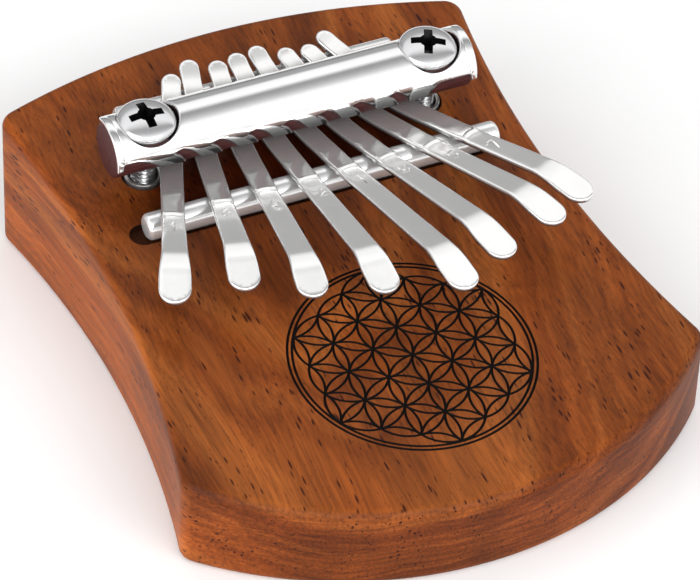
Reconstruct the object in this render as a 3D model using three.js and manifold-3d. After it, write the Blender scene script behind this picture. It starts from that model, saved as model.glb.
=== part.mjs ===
// Eight-key thumb piano (mbira / kalimba) with a solid hardwood body.
// Millimetres, +Z up. The origin is the bottom centre of the bounding box:
// the body rests on Z = 0, its rear edge points to +Y and the free ends of the
// keys point to -Y. The top face of the body is a wedge face that falls
// towards the front, and all the metal work is laid out on that slope.
import * as THREE from 'three';
import { mergeVertices } from 'three/addons/utils/BufferGeometryUtils.js';
import Module from 'manifold-3d';

// ---------------------------------------------------------------- dimensions
// Body, a wedge with four bowed sides
const REAR_HALF_WIDTH = 34.8;      // half distance between the rear corners
const REAR_CORNER_Y = 39.37;
const FRONT_HALF_WIDTH = 37.27;    // half distance between the front corners
const FRONT_CORNER_Y = -29.11;
const REAR_BULGE = 5.91;           // rear edge bows out
const SIDE_WAIST = 3.81;           // side edges bow in
const FRONT_BULGE = 16.17;         // front edge bows out
const CORNER_RADIUS = 2.6;         // plan radius of the four corners
const TOP_EDGE_RADIUS = 1.5;
const BOTTOM_EDGE_RADIUS = 1.2;
const TOP_SLOPE = Math.atan(0.112);
const SLOPE_ORIGIN_Y = -19.634;    // where the slope frame touches the top face
const SLOPE_ORIGIN_Z = 14.538;

// Bridge rods, seated in two routed slots across the top face
const ROD_RADIUS = 1.85;
const ROD_AXIS_HEIGHT = 1.15;
const FRONT_ROD_S = 31.9;
const FRONT_ROD_X0 = -24.7;
const FRONT_ROD_X1 = 26.9;
const REAR_ROD_S = 51.7;
const REAR_ROD_HALF = 20.6;
const SLOT_HALF_WIDTH = 1.87;
const SLOT_DEPTH = 1.1;
const FRONT_SLOT_X0 = -26.7;
const FRONT_SLOT_X1 = 27.5;
const REAR_SLOT_HALF = 22.0;

// Pressure bar, a hardwood dowel under a toothed half-tube cap
const BAR_S = 42.2;
const BAR_AXIS_HEIGHT = 6.3;
const BAR_HALF_LENGTH = 26.3;
const CORE_RADIUS = 3.8;
const CORE_HALF_LENGTH = 26.1;
const CAP_OUTER_RADIUS = 4.55;
const CAP_INNER_RADIUS = 4.1;
const CAP_EDGE_ANGLE = 13;         // degrees above the horizontal diameter
const TOOTH_EDGE_ANGLE = -15;
const END_RIM_ANGLE = -1;
const END_RIM_WIDTH = 0.8;
// left and right side of each tooth, at its root and at its tip
const TEETH = [
  [-20.9, -17.4, -19.9, -16.5],
  [-15.0, -12.0, -14.3, -11.2],
  [-9.4, -6.5, -8.9, -6.0],
  [-4.1, -1.2, -3.8, -1.0],
  [1.3, 4.3, 1.3, 4.3],
  [6.4, 9.4, 6.3, 9.2],
  [11.7, 15.0, 11.5, 14.7],
  [16.8, 20.1, 16.3, 19.5],
];

// Bar screws, pan heads threaded into sleeve inserts
const SCREW_X = 20.6;
const HEAD_RADIUS = 4.0;
const HEAD_SEAT = 9.0;
const HEAD_HEIGHT = 2.3;
const POCKET_RADIUS = 4.35;         // flat-floored pocket that each head sits in
const POCKET_FLOOR = 8.7;
const SHANK_RADIUS = 1.75;
const SHANK_HOLE_RADIUS = 2.1;
const SHANK_BOTTOM = -8.6;
const INSERT_OUTER_RADIUS = 2.6;
const INSERT_BORE_RADIUS = 2.05;
const INSERT_TOP = 0.3;
const INSERT_BOTTOM = -9.0;
const INSERT_HOLE_RADIUS = 2.9;
const INSERT_HOLE_FLOOR = -9.4;

// Keys, flat spring-steel strips with a spoon-shaped free end
const KEY_THICKNESS = 0.9;
const PINCH_HEIGHT = 1.2;          // underside, below the bar
const ROD_CONTACT_HEIGHT = 3.3;    // underside, over both rods
const TAIL_SLOPE = 0.2;
const STEM_HALF_WIDTH = 1.42;
const NECK_HALF_WIDTH = 1.75;
const TIP_HALF_WIDTH = 2.12;
// x on the front rod, plan slope dx/ds, s of the tip, of the bend and of the tail,
// rise of the free end towards the front, and rise of the spoon past the bend
const KEYS = [
  { x: -20.87, m: 0.416, tip: 14.0, bend: 20.4, tail: 54.5, free: 0.267, spoon: -0.14 },
  { x: -14.30, m: 0.243, tip: 12.5, bend: 18.9, tail: 56.0, free: 0.275, spoon: -0.14 },
  { x: -8.19, m: 0.146, tip: 7.1, bend: 13.1, tail: 54.8, free: 0.262, spoon: -0.136 },
  { x: -2.37, m: 0.017, tip: 4.2, bend: 10.8, tail: 55.2, free: 0.252, spoon: -0.12 },
  { x: 3.19, m: -0.092, tip: -0.5, bend: 6.6, tail: 55.5, free: 0.279, spoon: -0.07 },
  { x: 8.77, m: -0.186, tip: 3.6, bend: 11.0, tail: 54.1, free: 0.277, spoon: -0.03 },
  { x: 15.07, m: -0.335, tip: 7.2, bend: 13.5, tail: 53.7, free: 0.294, spoon: -0.05 },
  { x: 20.66, m: -0.432, tip: 11.0, bend: 17.4, tail: 55.1, free: 0.277, spoon: -0.06 },
];

// ------------------------------------------------------------------ solids
const wasm = await Module();
wasm.setup();

function toSolid(geometry) {
  const g = geometry.clone();
  for (const name of Object.keys(g.attributes)) if (name !== 'position') g.deleteAttribute(name);
  const m = mergeVertices(g, 1e-5);
  return new wasm.Manifold(new wasm.Mesh({
    numProp: 3,
    vertProperties: new Float32Array(m.attributes.position.array),
    triVerts: new Uint32Array(m.index.array),
  }));
}

function toGeometry(solid) {
  const mesh = solid.getMesh();
  const g = new THREE.BufferGeometry();
  g.setAttribute('position', new THREE.BufferAttribute(new Float32Array(mesh.vertProperties), 3));
  g.setIndex(new THREE.BufferAttribute(new Uint32Array(mesh.triVerts), 1));
  return g;
}

// A closed skin through equal rings of points, with a flat fan at each end.
function loft(rings) {
  const n = rings[0].length;
  const positions = [];
  const index = [];
  for (const ring of rings) for (const p of ring) positions.push(p.x, p.y, p.z);
  for (let j = 0; j + 1 < rings.length; j++) {
    for (let i = 0; i < n; i++) {
      const a = j * n + i, b = j * n + (i + 1) % n, c = a + n, d = b + n;
      index.push(a, b, d, a, d, c);
    }
  }
  const first = rings[0], last = rings[rings.length - 1];
  const centre = (ring) => ring.reduce((s, p) => s.add(p), new THREE.Vector3()).divideScalar(ring.length);
  const c0 = centre(first), c1 = centre(last);
  const i0 = positions.length / 3, i1 = i0 + 1, base = (rings.length - 1) * n;
  positions.push(c0.x, c0.y, c0.z, c1.x, c1.y, c1.z);
  for (let i = 0; i < n; i++) {
    index.push(i0, (i + 1) % n, i);
    index.push(i1, base + i, base + (i + 1) % n);
  }
  // signed volume tells which way the faces point
  let volume = 0;
  const P = (i) => new THREE.Vector3(positions[3 * i], positions[3 * i + 1], positions[3 * i + 2]);
  for (let i = 0; i < index.length; i += 3) volume += P(index[i]).dot(P(index[i + 1]).cross(P(index[i + 2])));
  if (volume < 0) index.reverse();
  const g = new THREE.BufferGeometry();
  g.setAttribute('position', new THREE.BufferAttribute(new Float32Array(positions), 3));
  g.setIndex(index);
  return g;
}

const V = (x, y, z) => new THREE.Vector3(x, y, z);

// Axes of the slope frame, as columns: x across, s up the slope, n out of the face
const slopeMatrix = new THREE.Matrix4().makeTranslation(0, SLOPE_ORIGIN_Y, SLOPE_ORIGIN_Z)
  .multiply(new THREE.Matrix4().makeRotationX(TOP_SLOPE));
const inverseSlope = slopeMatrix.clone().invert();

// A cylinder along the normal of the slope, in the slope frame
function postSolid(x, s, radius, n0, n1, segments = 40) {
  const g = new THREE.CylinderGeometry(radius, radius, n1 - n0, segments);
  g.rotateX(Math.PI / 2);
  g.translate(x, s, (n0 + n1) / 2);
  return toSolid(g);
}

// ------------------------------------------------------------------- body
// Plan outline, counter-clockwise seen from above, drawn as four arcs joined
// by round corners. inset moves it inwards.
function circleMeet(c1, r1, c2, r2, near) {
  const d = c2.clone().sub(c1), D = d.length();
  const a = (r1 * r1 - r2 * r2 + D * D) / (2 * D);
  const h = Math.sqrt(Math.max(r1 * r1 - a * a, 0));
  const m = c1.clone().addScaledVector(d, a / D);
  const n = new THREE.Vector2(-d.y, d.x).divideScalar(D);
  const p = m.clone().addScaledVector(n, h), q = m.clone().addScaledVector(n, -h);
  return p.distanceTo(near) < q.distanceTo(near) ? p : q;
}

function outline(inset) {
  const rearR = (REAR_HALF_WIDTH ** 2 + REAR_BULGE ** 2) / (2 * REAR_BULGE);
  const rearC = new THREE.Vector2(0, REAR_CORNER_Y + REAR_BULGE - rearR);
  const frontR = (FRONT_HALF_WIDTH ** 2 + FRONT_BULGE ** 2) / (2 * FRONT_BULGE);
  const frontC = new THREE.Vector2(0, FRONT_CORNER_Y - FRONT_BULGE + frontR);
  const chord = new THREE.Vector2(REAR_HALF_WIDTH - FRONT_HALF_WIDTH, REAR_CORNER_Y - FRONT_CORNER_Y);
  const c = chord.length();
  const sideR = (c * c / 4 + SIDE_WAIST ** 2) / (2 * SIDE_WAIST);
  const normal = new THREE.Vector2(chord.y, -chord.x).divideScalar(c);
  const sideC = new THREE.Vector2((REAR_HALF_WIDTH + FRONT_HALF_WIDTH) / 2, (REAR_CORNER_Y + FRONT_CORNER_Y) / 2)
    .addScaledVector(normal, sideR - SIDE_WAIST);
  const r = CORNER_RADIUS;
  const rearCorner = circleMeet(rearC, rearR - r, sideC, sideR + r, new THREE.Vector2(REAR_HALF_WIDTH, REAR_CORNER_Y));
  const frontCorner = circleMeet(frontC, frontR - r, sideC, sideR + r, new THREE.Vector2(FRONT_HALF_WIDTH, FRONT_CORNER_Y));
  const ang = (v) => Math.atan2(v.y, v.x);
  const pts = [];
  const arc = (centre, radius, a0, a1, n) => {
    for (let i = 0; i <= n; i++) {
      const t = a0 + (a1 - a0) * i / n;
      pts.push(new THREE.Vector2(centre.x + radius * Math.cos(t), centre.y + radius * Math.sin(t)));
    }
  };
  // right half, from the middle of the front edge up to the middle of the rear edge
  const f1 = ang(frontCorner.clone().sub(frontC));
  arc(frontC, frontR - inset, -Math.PI / 2, f1, 12);
  arc(frontCorner, Math.max(r - inset, 0.02), f1, ang(sideC.clone().sub(frontCorner)), 5);
  let s0 = ang(frontCorner.clone().sub(sideC)), s1 = ang(rearCorner.clone().sub(sideC));
  if (s0 < 0) s0 += 2 * Math.PI;
  if (s1 < 0) s1 += 2 * Math.PI;
  arc(sideC, sideR + inset, s0, s1, 14);
  const b1 = ang(rearCorner.clone().sub(rearC));
  arc(rearCorner, Math.max(r - inset, 0.02), ang(sideC.clone().sub(rearCorner)), b1, 5);
  arc(rearC, rearR - inset, b1, Math.PI / 2, 10);
  // drop the doubled joints, then mirror
  const half = [pts[0]];
  for (const p of pts) if (p.distanceTo(half[half.length - 1]) > 1e-3) half.push(p);
  const left = half.slice(1, -1).reverse().map((p) => new THREE.Vector2(-p.x, p.y));
  return half.concat(left);
}

const topZ = (y) => SLOPE_ORIGIN_Z + (y - SLOPE_ORIGIN_Y) * Math.tan(TOP_SLOPE);

function bodyGeometry() {
  const rings = [];
  for (let i = 0; i <= 3; i++) {
    const t = i / 3 * Math.PI / 2;
    const z = BOTTOM_EDGE_RADIUS * (1 - Math.sin(t)), inset = BOTTOM_EDGE_RADIUS * (1 - Math.cos(t));
    rings.unshift(outline(inset).map((p) => V(p.x, p.y, z)));
  }
  for (let i = 0; i <= 4; i++) {
    const t = i / 4 * Math.PI / 2;
    const drop = TOP_EDGE_RADIUS * (1 - Math.sin(t)), inset = TOP_EDGE_RADIUS * (1 - Math.cos(t));
    rings.push(outline(inset).map((p) => V(p.x, p.y, topZ(p.y) - drop)));
  }
  rings.sort((a, b) => a[0].z - b[0].z);
  return loft(rings);
}

function slotSolid(x0, x1, s) {
  const shape = new THREE.Shape();
  const r = SLOT_HALF_WIDTH;
  shape.moveTo(x0 + r, -r);
  shape.lineTo(x1 - r, -r);
  shape.absarc(x1 - r, 0, r, -Math.PI / 2, Math.PI / 2, false);
  shape.lineTo(x0 + r, r);
  shape.absarc(x0 + r, 0, r, Math.PI / 2, 3 * Math.PI / 2, false);
  const g = new THREE.ExtrudeGeometry(shape, { depth: SLOT_DEPTH + 4, bevelEnabled: false, curveSegments: 10 });
  g.translate(0, s, -SLOT_DEPTH);
  return toSolid(g);
}

let bodySolid = toSolid(bodyGeometry().applyMatrix4(inverseSlope));
bodySolid = bodySolid
  .subtract(slotSolid(FRONT_SLOT_X0, FRONT_SLOT_X1, FRONT_ROD_S))
  .subtract(slotSolid(-REAR_SLOT_HALF, REAR_SLOT_HALF, REAR_ROD_S));
for (const x of [-SCREW_X, SCREW_X]) {
  bodySolid = bodySolid.subtract(postSolid(x, BAR_S, INSERT_HOLE_RADIUS, INSERT_HOLE_FLOOR, 4, 32));
}
const bodyShape = toGeometry(bodySolid);

// ------------------------------------------------------------------- rods
// A round rod along X with domed ends
function rodGeometry(x0, x1) {
  const dome = 0.7, profile = [new THREE.Vector2(0, x0)];
  for (let i = 1; i <= 4; i++) {
    const t = i / 4 * Math.PI / 2;
    profile.push(new THREE.Vector2(ROD_RADIUS - dome + dome * Math.sin(t), x0 + dome * (1 - Math.cos(t))));
  }
  for (let i = 0; i <= 4; i++) {
    const t = i / 4 * Math.PI / 2;
    profile.push(new THREE.Vector2(ROD_RADIUS - dome + dome * Math.cos(t), x1 - dome * (1 - Math.sin(t))));
  }
  profile.push(new THREE.Vector2(0, x1));
  const clean = profile.filter((p, i) => i === 0 || p.distanceTo(profile[i - 1]) > 1e-6);
  const g = new THREE.LatheGeometry(clean, 28);
  g.rotateZ(-Math.PI / 2);
  return g;
}

// --------------------------------------------------------------- pressure bar
// Half-tube wall between two angles, measured upwards from the front of the
// bar, with its two edges following x-dependent angles.
function capSolid() {
  const polar = (r, deg) => new THREE.Vector2(-r * Math.cos(THREE.MathUtils.degToRad(deg)), r * Math.sin(THREE.MathUtils.degToRad(deg)));
  const wall = (a0, a1, xa0, xb0, xa1, xb1, steps) => {
    // rings along the arc; each ring is the wall section cut by a plane of constant angle
    const rings = [];
    for (let i = 0; i <= steps; i++) {
      const t = i / steps, a = a0 + (a1 - a0) * t;
      const xa = xa0 + (xa1 - xa0) * t, xb = xb0 + (xb1 - xb0) * t;
      const p = polar(CAP_INNER_RADIUS, a), q = polar(CAP_OUTER_RADIUS, a);
      rings.push([V(xa, p.x, p.y), V(xb, p.x, p.y), V(xb, q.x, q.y), V(xa, q.x, q.y)]);
    }
    return toSolid(loft(rings));
  };
  let cap = wall(CAP_EDGE_ANGLE, 180 - CAP_EDGE_ANGLE, -BAR_HALF_LENGTH, BAR_HALF_LENGTH, -BAR_HALF_LENGTH, BAR_HALF_LENGTH, 30);
  for (const [ra, rb, ta, tb] of TEETH) {
    cap = cap.add(wall(TOOTH_EDGE_ANGLE, CAP_EDGE_ANGLE + 2, ta, tb, ra, rb, 5));
  }
  for (const s of [-1, 1]) {
    const a = s * BAR_HALF_LENGTH, b = s * (BAR_HALF_LENGTH - END_RIM_WIDTH);
    cap = cap.add(wall(END_RIM_ANGLE, CAP_EDGE_ANGLE + 2, Math.min(a, b), Math.max(a, b), Math.min(a, b), Math.max(a, b), 4));
  }
  return cap;
}

let cap = capSolid();
for (const x of [-SCREW_X, SCREW_X]) {
  cap = cap.subtract(postSolid(x, 0, POCKET_RADIUS, POCKET_FLOOR - BAR_AXIS_HEIGHT, 8, 48));
}
const capShape = toGeometry(cap);

const coreCylinder = new THREE.CylinderGeometry(CORE_RADIUS, CORE_RADIUS, 2 * CORE_HALF_LENGTH, 40);
coreCylinder.rotateZ(Math.PI / 2);
let core = toSolid(coreCylinder);
for (const x of [-SCREW_X, SCREW_X]) {
  core = core
    .subtract(postSolid(x, 0, SHANK_HOLE_RADIUS, -6, 6, 32))
    .subtract(postSolid(x, 0, POCKET_RADIUS, POCKET_FLOOR - BAR_AXIS_HEIGHT, 8, 48));
}
const coreShape = toGeometry(core);

// ------------------------------------------------------------------ screws
// Pan head with a cross recess, on a plain shank; the axis is the slope normal
function screwSolid() {
  const top = HEAD_SEAT + HEAD_HEIGHT;
  const profile = [[0, SHANK_BOTTOM], [SHANK_RADIUS - 0.6, SHANK_BOTTOM], [SHANK_RADIUS, SHANK_BOTTOM + 0.8],
    [SHANK_RADIUS, HEAD_SEAT], [HEAD_RADIUS - 0.45, HEAD_SEAT], [HEAD_RADIUS - 0.05, HEAD_SEAT + 0.75],
    [HEAD_RADIUS, HEAD_SEAT + 0.92], [HEAD_RADIUS - 0.15, HEAD_SEAT + 1.3], [HEAD_RADIUS - 0.8, HEAD_SEAT + 1.83],
    [HEAD_RADIUS - 2.1, HEAD_SEAT + 2.17], [0, top]].map(([r, z]) => new THREE.Vector2(r, z));
  const g = new THREE.LatheGeometry(profile, 36);
  g.rotateX(Math.PI / 2);
  let solid = toSolid(g);
  const slot = (turn) => {
    const b = new THREE.BoxGeometry(4.9, 1.05, 3.0);
    b.rotateZ(turn);
    b.translate(0, 0, top + 1.5 - 1.35);
    return toSolid(b);
  };
  const cone = new THREE.CylinderGeometry(1.35, 0.5, 2.2, 16);
  cone.rotateX(Math.PI / 2);
  cone.translate(0, 0, top - 0.9);
  solid = solid.subtract(slot(0)).subtract(slot(Math.PI / 2)).subtract(toSolid(cone));
  return solid;
}
const screwShape = toGeometry(screwSolid());

function insertGeometry() {
  const profile = [[INSERT_BORE_RADIUS, INSERT_BOTTOM], [INSERT_OUTER_RADIUS - 0.3, INSERT_BOTTOM],
    [INSERT_OUTER_RADIUS, INSERT_BOTTOM + 0.4], [INSERT_OUTER_RADIUS, INSERT_TOP - 0.15],
    [INSERT_OUTER_RADIUS - 0.15, INSERT_TOP], [INSERT_BORE_RADIUS, INSERT_TOP], [INSERT_BORE_RADIUS, INSERT_BOTTOM]]
    .map(([r, z]) => new THREE.Vector2(r, z));
  const g = new THREE.LatheGeometry(profile, 36);
  g.rotateX(Math.PI / 2);
  return g;
}

// -------------------------------------------------------------------- keys
// Underside of a key in the slope frame: n as a function of s, from the tail
// over the rear rod, under the bar, over the front rod and out to the tip.
function keyGeometry(key) {
  const nodes = [
    [key.tail, ROD_CONTACT_HEIGHT + TAIL_SLOPE * (key.tail - REAR_ROD_S)],
    [REAR_ROD_S, ROD_CONTACT_HEIGHT],
    [BAR_S + 2.6, PINCH_HEIGHT + 0.32],
    [BAR_S, PINCH_HEIGHT],
    [BAR_S - 2.6, PINCH_HEIGHT + 0.3],
    [FRONT_ROD_S, ROD_CONTACT_HEIGHT],
    [FRONT_ROD_S - 4, ROD_CONTACT_HEIGHT + 4 * 0.25],
    [key.bend + 1.4, ROD_CONTACT_HEIGHT + key.free * (FRONT_ROD_S - key.bend - 1.4)],
    [key.bend - 1.2, ROD_CONTACT_HEIGHT + key.free * (FRONT_ROD_S - key.bend) + key.spoon * 1.2],
    [key.tip, ROD_CONTACT_HEIGHT + key.free * (FRONT_ROD_S - key.bend) + key.spoon * (key.bend - key.tip)],
  ];
  const curve = new THREE.CatmullRomCurve3(nodes.map(([s, n]) => V(0, s, n)), false, 'centripetal');
  const steps = 40;
  const pts = [];
  for (let i = 0; i <= steps; i++) pts.push(curve.getPointAt(i / steps));
  // finer stations through both round ends
  const total = curve.getLength();
  const at = [0, 0.12, 0.4, 0.9, 1.5].map((d) => d / total);
  const ends = [0, 0.15, 0.5, 1.1, 2.0].map((d) => 1 - d / total).reverse();
  const us = at.concat(Array.from({ length: 31 }, (_, i) => 0.045 + 0.9 * i / 30)
    .filter((u) => u > at[4] + 0.01 && u < ends[0] - 0.01), ends);
  const lateral = V(1, -key.m, 0).normalize();
  const rings = us.map((u) => {
    const p = curve.getPointAt(u), t = curve.getTangentAt(u);
    const s = p.y, n = p.z;
    // half width: stem, then widening from the neck to the spoon, with round ends
    const toTip = total * (1 - u), toTail = total * u;
    const neck = THREE.MathUtils.smoothstep(FRONT_ROD_S - s, 2, FRONT_ROD_S - key.bend);
    const spoon = THREE.MathUtils.smoothstep(key.bend + 2 - s, 0, 5);
    let hw = STEM_HALF_WIDTH + (NECK_HALF_WIDTH - STEM_HALF_WIDTH) * neck + (TIP_HALF_WIDTH - NECK_HALF_WIDTH) * spoon;
    const round = (d, r) => (d < r ? Math.sqrt(Math.max(r * r - (r - d) ** 2, 0)) / r : 1);
    hw *= Math.max(round(toTip, TIP_HALF_WIDTH), 0.16) * Math.max(round(toTail, STEM_HALF_WIDTH), 0.2);
    const x = key.x + key.m * (s - FRONT_ROD_S);
    // unit normal of the strip in the x-s-n frame; the run of the strip is slanted by m
    const along = V(key.m * t.y, t.y, t.z).normalize();
    const up = new THREE.Vector3().crossVectors(lateral, along);
    if (up.z < 0) up.negate();
    const base = V(x, s, n);
    const h = KEY_THICKNESS, c = Math.min(0.26, hw * 0.5);
    const section = [[-hw + c, 0], [hw - c, 0], [hw, c], [hw, h - c], [hw - c, h], [-hw + c, h], [-hw, h - c], [-hw, c]];
    return section.map(([a, b]) => base.clone().addScaledVector(lateral, a).addScaledVector(up, b));
  });
  return loft(rings);
}

// ---------------------------------------------------------------- assembly
const finish = {
  wood: new THREE.MeshStandardMaterial({ color: 0x96522a, roughness: 0.5, metalness: 0 }),
  darkWood: new THREE.MeshStandardMaterial({ color: 0x3d1c1a, roughness: 0.45, metalness: 0 }),
  chrome: new THREE.MeshStandardMaterial({ color: 0xd8d8da, roughness: 0.12, metalness: 1 }),
  steel: new THREE.MeshStandardMaterial({ color: 0xc9c8c6, roughness: 0.18, metalness: 1 }),
};

function piece(name, geometry, material) {
  geometry.computeVertexNormals();
  const mesh = new THREE.Mesh(geometry, material);
  mesh.name = name;
  return mesh;
}

const mbira = new THREE.Group();
mbira.name = 'mbira';

const slope = new THREE.Group();
slope.position.set(0, SLOPE_ORIGIN_Y, SLOPE_ORIGIN_Z);
slope.rotation.x = TOP_SLOPE;
mbira.add(slope);

slope.add(piece('body', bodyShape, finish.wood));

const frontRod = piece('front_bridge_rod', rodGeometry(FRONT_ROD_X0, FRONT_ROD_X1), finish.chrome);
frontRod.position.set(0, FRONT_ROD_S, ROD_AXIS_HEIGHT);
slope.add(frontRod);
const rearRod = piece('rear_bridge_rod', rodGeometry(-REAR_ROD_HALF, REAR_ROD_HALF), finish.chrome);
rearRod.position.set(0, REAR_ROD_S, ROD_AXIS_HEIGHT);
slope.add(rearRod);

const bar = new THREE.Group();
bar.position.set(0, BAR_S, BAR_AXIS_HEIGHT);
bar.add(piece('pressure_bar_core', coreShape, finish.darkWood));
bar.add(piece('pressure_bar_cap', capShape, finish.chrome));
slope.add(bar);

for (const [side, x] of [['left', -SCREW_X], ['right', SCREW_X]]) {
  const screw = piece(`screw_${side}`, screwShape.clone(), finish.chrome);
  screw.position.set(x, BAR_S, 0);
  screw.rotation.z = side === 'left' ? 0 : -0.43;
  slope.add(screw);
  const insert = piece(`insert_${side}`, insertGeometry(), finish.steel);
  insert.position.set(x, BAR_S, 0);
  slope.add(insert);
}

KEYS.forEach((key, i) => slope.add(piece(`key_${i + 1}`, keyGeometry(key), finish.steel)));

export default mbira;
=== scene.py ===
import math
import bpy
import bmesh
import numpy as np
from mathutils import Matrix, Vector
from mathutils.geometry import delaunay_2d_cdt


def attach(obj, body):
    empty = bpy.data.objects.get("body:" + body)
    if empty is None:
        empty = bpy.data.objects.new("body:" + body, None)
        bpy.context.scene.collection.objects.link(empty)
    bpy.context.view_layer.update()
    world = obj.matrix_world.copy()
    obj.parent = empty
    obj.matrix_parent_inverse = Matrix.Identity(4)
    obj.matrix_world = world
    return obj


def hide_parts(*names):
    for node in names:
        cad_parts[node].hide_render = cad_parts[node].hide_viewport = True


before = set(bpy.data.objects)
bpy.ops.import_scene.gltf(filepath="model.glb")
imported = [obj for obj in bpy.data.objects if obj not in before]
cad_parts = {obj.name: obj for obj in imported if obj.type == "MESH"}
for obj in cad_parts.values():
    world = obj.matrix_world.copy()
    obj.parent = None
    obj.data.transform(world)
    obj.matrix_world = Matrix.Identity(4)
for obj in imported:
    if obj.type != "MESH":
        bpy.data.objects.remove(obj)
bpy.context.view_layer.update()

# ---------------------------------------------------------------- dimensions, mm
ALPHA = math.atan(0.112)
S0Y, S0Z = -19.634, 14.538
REAR_HW, REAR_Y, FRONT_HW, FRONT_Y = 34.8, 39.37, 37.27, -29.11
REAR_BULGE, WAIST, FRONT_BULGE, CORNER_R = 5.91, 3.81, 16.17, 2.6
TOP_R, BOT_R = 1.5, 1.2
ROD_R, ROD_N = 1.85, 1.15
FROD_S, FROD_X0, FROD_X1 = 31.9, -24.7, 26.9
RROD_S, RROD_H = 51.7, 20.6
SLOT_R, SLOT_D = 1.87, 1.1
BAR_S, BAR_N, BAR_H = 42.2, 6.3, 26.3
CORE_R, CORE_H = 3.8, 26.1
CAP_RO, CAP_RI = 4.55, 4.1
POCKET_R, POCKET_N = 4.35, 8.7
SCREW_X = 20.6
KEYS = [
    (-20.87, .416, 14.0, 20.4, 54.5, .267, -.14), (-14.30, .243, 12.5, 18.9, 56.0, .275, -.14),
    (-8.19, .146, 7.1, 13.1, 54.8, .262, -.136), (-2.37, .017, 4.2, 10.8, 55.2, .252, -.12),
    (3.19, -.092, -.5, 6.6, 55.5, .279, -.07), (8.77, -.186, 3.6, 11.0, 54.1, .277, -.03),
    (15.07, -.335, 7.2, 13.5, 53.7, .294, -.05), (20.66, -.432, 11.0, 17.4, 55.1, .277, -.06),
]
KEY_T = 0.9

SLOPE = Matrix.Translation((0, S0Y * 1e-3, S0Z * 1e-3)) @ Matrix.Rotation(ALPHA, 4, "X") @ Matrix.Scale(1e-3, 4)


# ---------------------------------------------------------------- mesh helpers
def cdt(points, edges):
    return delaunay_2d_cdt([Vector((float(a), float(b))) for a, b in points], edges, [], 0, 1e-4, True)


def inside(p, poly):
    p, poly = np.asarray(p, float), np.asarray(poly, float)
    out = np.zeros(len(p), bool)
    b = np.roll(poly, -1, 0)
    for i in range(0, len(p), 4000):
        x, y = p[i:i + 4000, 0][:, None], p[i:i + 4000, 1][:, None]
        hit = ((poly[:, 1] > y) != (b[:, 1] > y)) & \
            (x < (b[:, 0] - poly[:, 0]) * (y - poly[:, 1]) / (b[:, 1] - poly[:, 1] + 1e-30) + poly[:, 0])
        out[i:i + 4000] = hit.sum(1) % 2 == 1
    return out


def seg_dist(p, A, B):
    p, A, B = (np.asarray(v, float) for v in (p, A, B))
    out = np.empty(len(p))
    E = B - A
    L2 = (E ** 2).sum(1) + 1e-18
    for i in range(0, len(p), 1500):
        q = p[i:i + 1500, None, :] - A[None]
        t = np.clip((q * E).sum(2) / L2, 0, 1)
        out[i:i + 1500] = np.sqrt(((q - t[..., None] * E) ** 2).sum(2).min(1))
    return out


def loop_segments(loops):
    A = np.concatenate([np.asarray(l, float) for l in loops])
    B = np.concatenate([np.roll(np.asarray(l, float), -1, 0) for l in loops])
    return A, B


def offset_loop(loop, d):
    """Points of a closed loop moved d towards its left side."""
    P = np.asarray(loop, float)
    a, b = P - np.roll(P, 1, 0), np.roll(P, -1, 0) - P
    a /= np.linalg.norm(a, axis=1)[:, None] + 1e-12
    b /= np.linalg.norm(b, axis=1)[:, None] + 1e-12
    n = np.stack([-(a + b)[:, 1], (a + b)[:, 0]], 1)
    n /= np.linalg.norm(n, axis=1)[:, None] + 1e-12
    cosine = np.clip(n[:, 0] * -a[:, 1] + n[:, 1] * a[:, 0], 0.5, 1)
    return P + n * (d / cosine)[:, None]


class Plan:
    """Points and edges for a triangulated plane region."""

    def __init__(self):
        self.p, self.e = [], []

    def loop(self, pts):
        i = len(self.p)
        n = len(pts)
        self.p += [tuple(q) for q in pts]
        self.e += [(i + k, i + (k + 1) % n) for k in range(n)]
        return list(range(i, i + n))

    def line(self, pts):
        i = len(self.p)
        self.p += [tuple(q) for q in pts]
        self.e += [(i + k, i + k + 1) for k in range(len(pts) - 1)]

    def groove(self, pts, w):
        """A centre line and the two edges of a groove of width w."""
        P = np.asarray(pts, float)
        t = np.gradient(P, axis=0)
        t /= np.linalg.norm(t, axis=1)[:, None] + 1e-12
        n = np.stack([-t[:, 1], t[:, 0]], 1)
        self.line(P)
        self.line(P + n * w / 2)
        self.line(P - n * w / 2)

    def dots(self, pts):
        self.p += [tuple(q) for q in pts]

    def solve(self):
        co, _, faces, orig, _, _ = cdt(self.p, self.e)
        back = {}
        for i, o in enumerate(orig):
            for k in o:
                back[k] = i
        return np.array([(v[0], v[1]) for v in co]), [tuple(f) for f in faces], back


def make(name, verts, faces, matrix=SLOPE, sharp=32.0, shade=None):
    me = bpy.data.meshes.new(name)
    me.from_pydata([tuple(float(c) for c in v) for v in verts], [], faces)
    if shade is not None:
        at = me.attributes.new("painted_shade", "FLOAT", "CORNER")
        for p in me.polygons:
            for li in p.loop_indices:
                at.data[li].value = shade(p.index, me.loops[li].vertex_index)
    obj = bpy.data.objects.new(name, me)
    bpy.context.scene.collection.objects.link(obj)
    finish_mesh(obj, matrix, sharp)
    return obj


def finish_mesh(obj, matrix, sharp):
    me = obj.data
    bm = bmesh.new()
    bm.from_mesh(me)
    loose = [v for v in bm.verts if not v.link_faces]
    bmesh.ops.delete(bm, geom=loose, context="VERTS")
    bmesh.ops.recalc_face_normals(bm, faces=bm.faces)
    bm.to_mesh(me)
    bm.free()
    if matrix is not None:
        me.transform(matrix)
    me.polygons.foreach_set("use_smooth", [True] * len(me.polygons))
    me.set_sharp_from_angle(angle=math.radians(sharp))
    me.update()


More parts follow.
